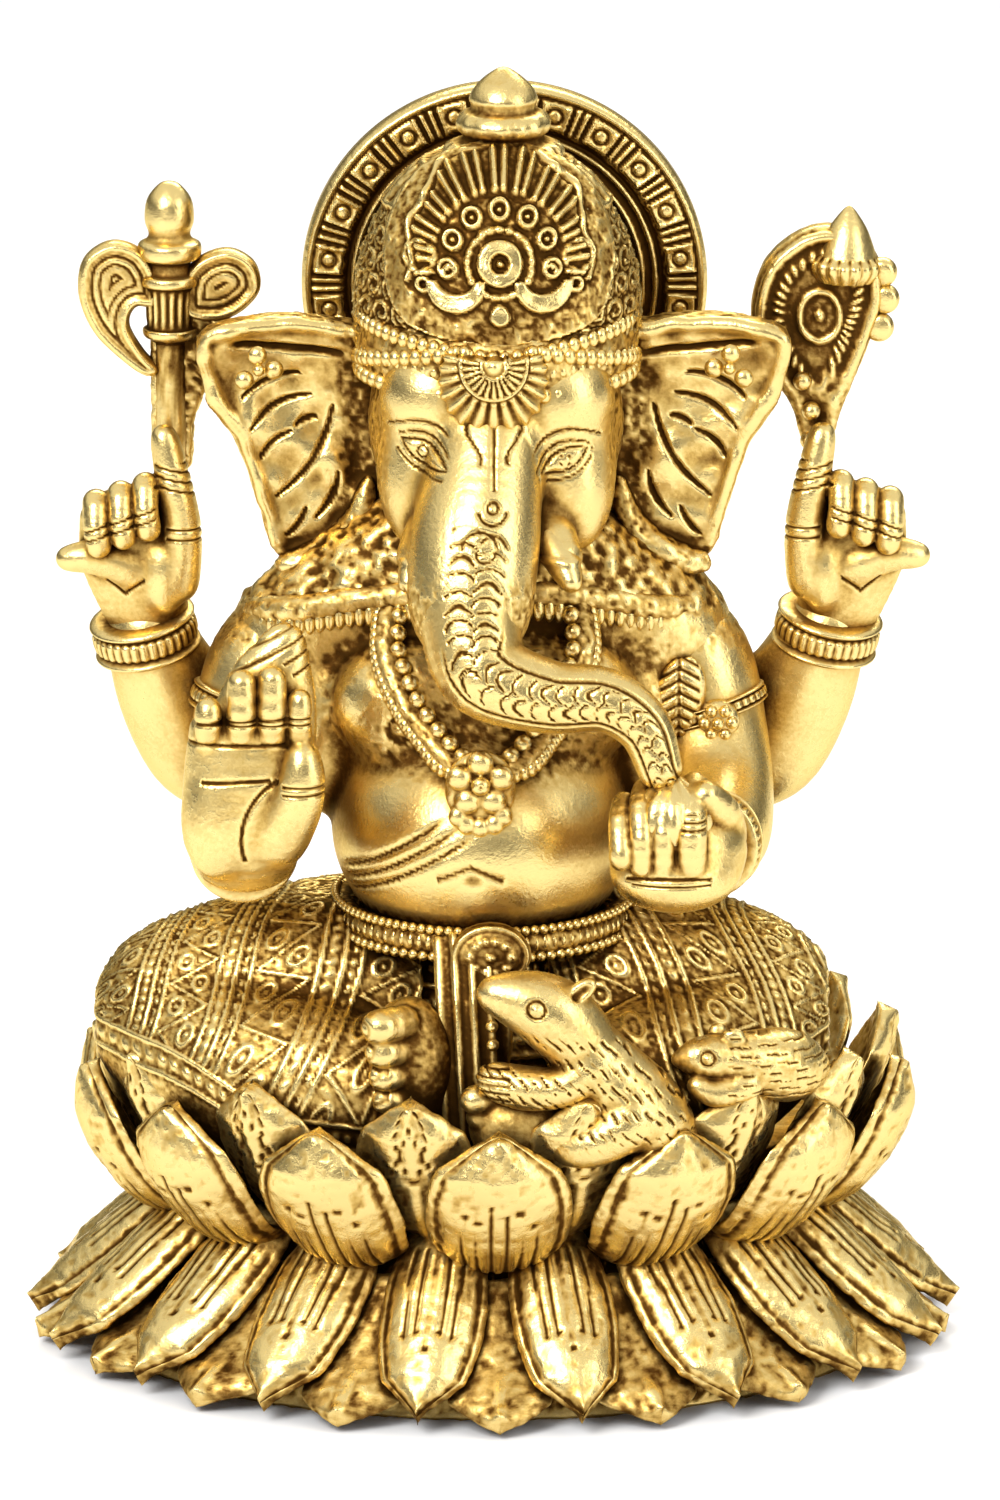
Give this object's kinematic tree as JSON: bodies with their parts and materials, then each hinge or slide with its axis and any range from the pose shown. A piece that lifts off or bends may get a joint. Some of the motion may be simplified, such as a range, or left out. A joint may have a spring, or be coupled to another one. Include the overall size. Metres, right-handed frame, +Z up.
{
  "type": "seated deity statuette",
  "caption": "Cast brass seated four-armed elephant-headed deity statuette with halo and crown on a double lotus pedestal, with two mice, for a shelf or shrine.",
  "frame": {"origin": "middle of the pedestal's footprint, on the surface it stands on", "axes": "+Z up, the figure faces -Y, +X is the figure's own left"},
  "size_m": [0.1462, 0.1174, 0.2],
  "materials": {
    "antique_brass": "cast and chased brass with dark brown patina in the recesses",
    "polished_brass": "hand-polished brass with light brushing",
    "zinc_steel": "zinc plated"
  },
  "bodies": {
    "root": {"lotus_pedestal": "antique_brass", "lower_petals_front": "antique_brass", "lower_petals_back": "antique_brass", "upper_petals_outer": "antique_brass", "upper_petals_inner": "antique_brass", "torso": "polished_brass", "right_leg": "antique_brass", "left_leg": "antique_brass", "right_foot": "antique_brass", "left_foot": "antique_brass", "waist_belt": "antique_brass", "belt_buckle": "antique_brass", "apron": "antique_brass", "necklace": "antique_brass", "pendant": "antique_brass", "shoulder_collar": "antique_brass", "front_right_arm": "polished_brass", "front_left_arm": "polished_brass", "front_right_hand": "polished_brass", "sweet_ball": "polished_brass", "front_left_hand": "polished_brass", "front_right_bracelet": "antique_brass", "front_left_bracelet": "antique_brass", "right_armlet": "antique_brass", "left_armlet": "antique_brass", "rear_right_arm": "polished_brass", "rear_right_hand": "polished_brass", "rear_right_bracelet": "antique_brass", "rear_left_arm": "polished_brass", "rear_left_hand": "polished_brass", "rear_left_bracelet": "antique_brass", "axe": "antique_brass", "noose": "antique_brass", "head": "polished_brass", "trunk": "polished_brass", "right_tusk": "polished_brass", "left_tusk": "polished_brass", "right_ear": "antique_brass", "left_ear": "antique_brass", "halo": "antique_brass", "crown_cap": "antique_brass", "crown_band": "antique_brass", "crown_crest": "antique_brass", "forehead_jewel": "antique_brass", "crown_finial": "antique_brass", "mouse": "antique_brass", "small_mouse": "antique_brass", "fixing_washer": "zinc_steel", "fixing_screw": "zinc_steel"}
  },
  "joints": []
}
